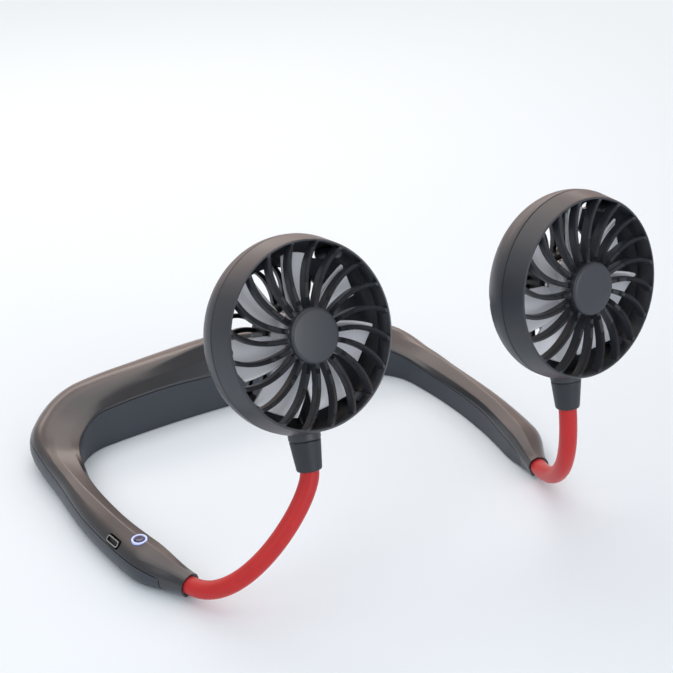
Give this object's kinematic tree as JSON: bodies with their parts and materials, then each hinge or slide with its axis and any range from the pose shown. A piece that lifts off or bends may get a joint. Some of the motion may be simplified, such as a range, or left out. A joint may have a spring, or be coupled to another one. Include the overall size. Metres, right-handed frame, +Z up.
{
  "type": "electric neck fan",
  "caption": "Hands-free neck fan: a hollow U-shaped neckband with batteries, two bendable red gooseneck arms and two round fan heads behind spiral grilles.",
  "frame": {"origin": "on the table, in the middle of the flat foot at the back of the neckband", "axes": "+X towards the right arm, -Y the way the heads blow, +Z up from the table"},
  "size_m": [0.2151, 0.2022, 0.1445],
  "materials": {
    "gloss_shell": "glossy brown-grey moulding",
    "matte_shell": "fine matte slate moulding",
    "head_shell": "satin charcoal moulding",
    "dark_plastic": "satin black",
    "button_plastic": "dark blue gloss",
    "ring_plastic": "frosted and lit from behind",
    "red_silicone": "satin silicone",
    "blade_plastic": "smoky grey",
    "plated_steel": "nickel plated",
    "hose_steel": "drawn",
    "bushing_brass": "sintered",
    "rotor_copper": "enamelled winding",
    "ferrite": "pressed ferrite",
    "cell_foil": "laminated foil",
    "board_laminate": "solder mask",
    "wire_skin": "PVC insulation"
  },
  "bodies": {
    "neckband": {"upper_cover": "gloss_shell", "lower_cover": "matte_shell", "left_cell": "cell_foil", "right_cell": "cell_foil", "circuit_board": "board_laminate", "key_board": "board_laminate", "usb_socket": "plated_steel", "tact_switch": "dark_plastic", "light_ring": "ring_plastic", "wire_harness": "wire_skin", "cover_screws": "plated_steel", "left_tip_ferrule": "plated_steel", "right_tip_ferrule": "plated_steel"},
    "button": {"power_button": "button_plastic", "switch_plunger": "dark_plastic"},
    "left_arm": {"left_gooseneck_sleeve": "red_silicone", "left_gooseneck_core": "hose_steel", "left_arm_lead": "wire_skin"},
    "left_head": {"left_collar": "dark_plastic", "left_front_cover": "head_shell", "left_rear_cover": "head_shell", "left_motor_can": "plated_steel", "left_motor_magnets": "ferrite", "left_motor_end_cap": "dark_plastic", "left_shaft_bushings": "bushing_brass", "left_head_screws": "plated_steel", "left_motor_lead": "wire_skin"},
    "left_fan": {"left_impeller": "blade_plastic", "left_motor_shaft": "hose_steel", "left_motor_rotor": "rotor_copper"},
    "right_arm": {"right_gooseneck_sleeve": "red_silicone", "right_gooseneck_core": "hose_steel", "right_arm_lead": "wire_skin"},
    "right_head": {"right_collar": "dark_plastic", "right_front_cover": "head_shell", "right_rear_cover": "head_shell", "right_motor_can": "plated_steel", "right_motor_magnets": "ferrite", "right_motor_end_cap": "dark_plastic", "right_shaft_bushings": "bushing_brass", "right_head_screws": "plated_steel", "right_motor_lead": "wire_skin"},
    "right_fan": {"right_impeller": "blade_plastic", "right_motor_shaft": "hose_steel", "right_motor_rotor": "rotor_copper"}
  },
  "joints": [
    {"name": "left_arm_bend", "type": "hinge", "parent": "neckband", "child": "left_arm", "pos_m": [-0.0822, -0.1467, 0.0064], "axis": [0.9563, 0.2924, 0], "range_deg": [-30, 20], "deforming": ["left_gooseneck_sleeve", "left_gooseneck_core", "left_arm_lead"]},
    {"name": "left_head_tilt", "type": "hinge", "parent": "left_arm", "child": "left_head", "pos_m": [-0.04061, -0.15455, 0.04771], "axis": [0.9951, 0.0738, -0.0656], "range_deg": [-35, 35], "deforming": ["left_gooseneck_sleeve", "left_gooseneck_core", "left_arm_lead"]},
    {"name": "left_fan_spin", "type": "hinge", "parent": "left_head", "child": "left_fan", "pos_m": [-0.03693, -0.15091, 0.10755], "axis": [0.0918, -0.9364, 0.3387], "continuous": true},
    {"name": "right_arm_bend", "type": "hinge", "parent": "neckband", "child": "right_arm", "pos_m": [0.08352, -0.1424, 0.0064], "axis": [0.9563, -0.2924, 0], "range_deg": [-30, 20], "deforming": ["right_gooseneck_sleeve", "right_gooseneck_core", "right_arm_lead"]},
    {"name": "right_head_tilt", "type": "hinge", "parent": "right_arm", "child": "right_head", "pos_m": [0.07171, -0.17084, 0.04206], "axis": [0.9962, 0.0851, -0.0188], "range_deg": [-35, 35], "deforming": ["right_gooseneck_sleeve", "right_gooseneck_core", "right_arm_lead"]},
    {"name": "right_fan_spin", "type": "hinge", "parent": "right_head", "child": "right_fan", "pos_m": [0.0733, -0.1745, 0.10971], "axis": [0.0871, -0.976, 0.1994], "continuous": true},
    {"name": "button_press", "type": "slide", "parent": "neckband", "child": "button", "axis": [0.0515, 0.0091, -0.9986], "range_m": [0, 0.0005], "stiffness_N_per_m": 2500, "springref_m": -0.0002}
  ]
}
